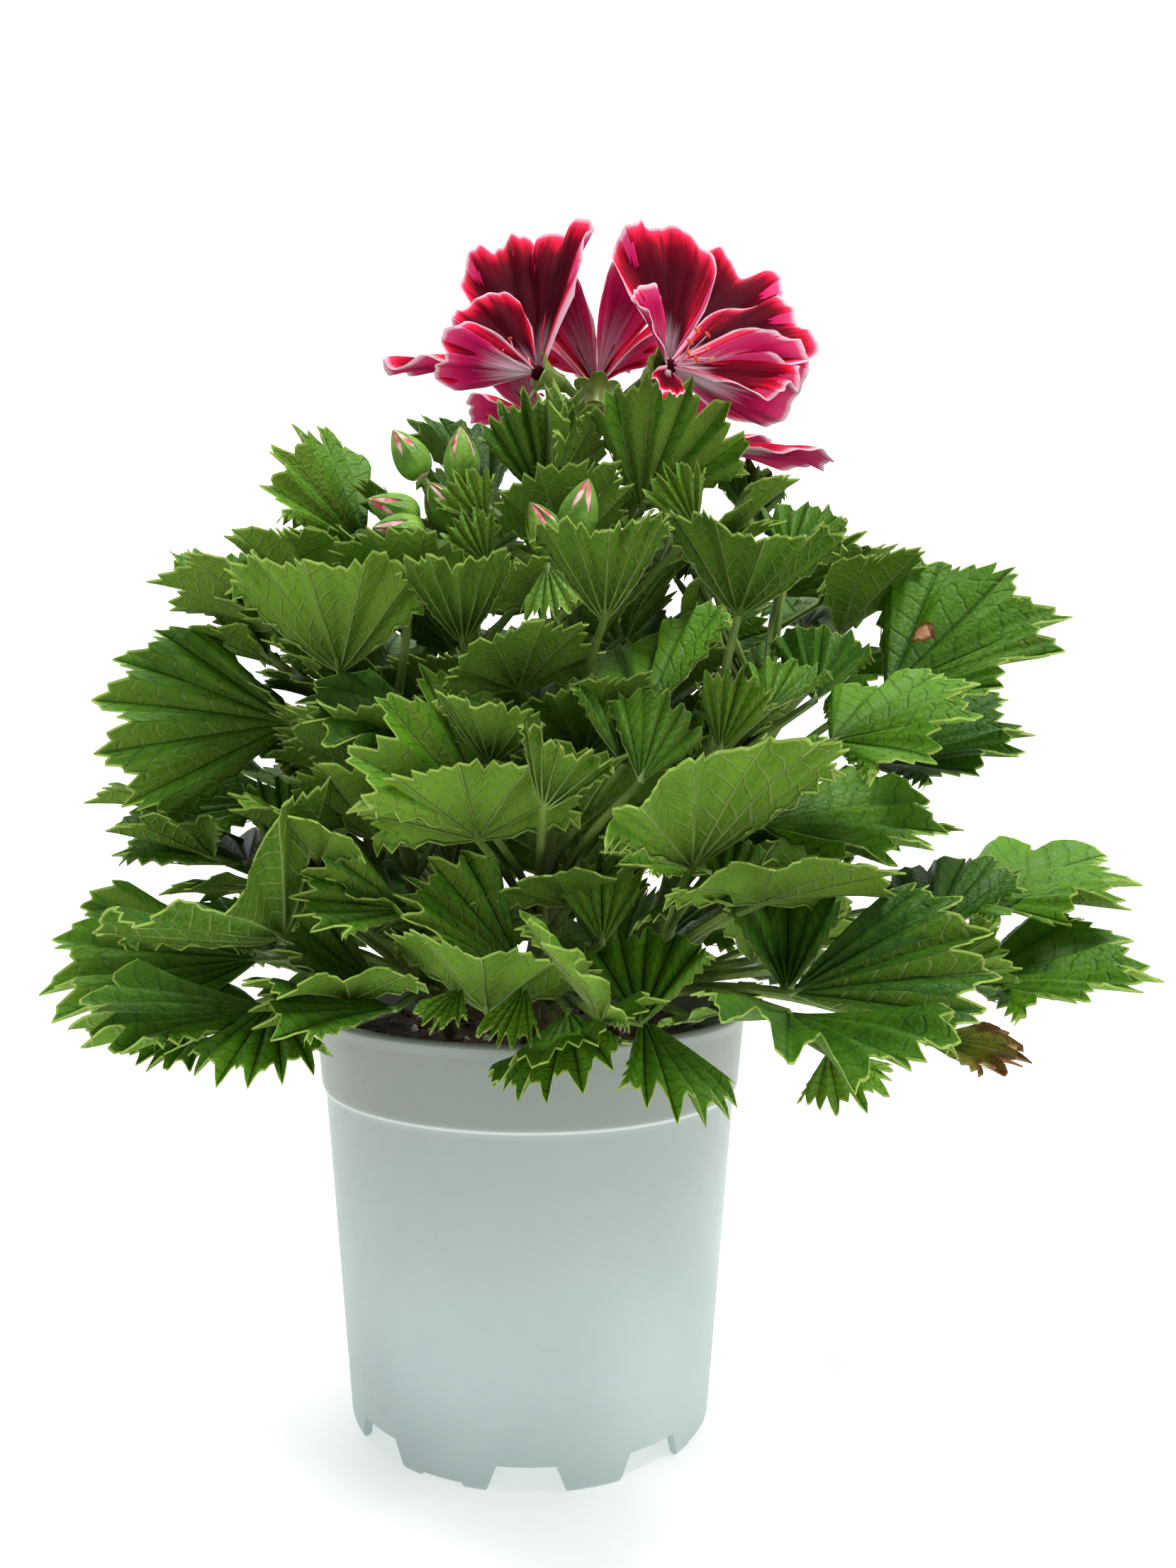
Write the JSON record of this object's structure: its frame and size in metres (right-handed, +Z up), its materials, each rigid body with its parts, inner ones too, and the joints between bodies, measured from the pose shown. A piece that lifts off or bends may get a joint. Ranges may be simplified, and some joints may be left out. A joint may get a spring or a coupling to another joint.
{
  "type": "potted regal pelargonium",
  "caption": "Bushy regal pelargonium with toothed, pleated fan leaves and a head of dark-eyed crimson blooms, growing in a plain round nursery pot.",
  "frame": {"origin": "middle of the box that holds the whole plant, at the height of the pot's foot", "axes": "+Z up, -Y towards the front that the picture shows, +X to the viewer's right"},
  "size_m": [0.2928, 0.25, 0.3313],
  "materials": {
    "pot": "pale mint-grey moulded plastic, slightly shiny",
    "soil": "dark crumbly potting soil",
    "leaf": "mid-green, softly hairy leaf and stem",
    "petal": "crimson petal with a dark eye and a thin pale edge"
  },
  "bodies": {
    "root": {"pot": "pot", "soil": "soil", "stem_front": "leaf", "stem_front_left": "leaf", "stem_left": "leaf", "stem_back_left": "leaf", "stem_back": "leaf", "stem_back_right": "leaf", "stem_right": "leaf", "stem_front_right": "leaf", "flowering_stem": "leaf", "budding_stem": "leaf", "bloom_left": "petal", "bloom_right": "petal", "bloom_low_right": "petal", "bloom_middle": "petal", "bloom_back": "petal"}
  },
  "joints": []
}
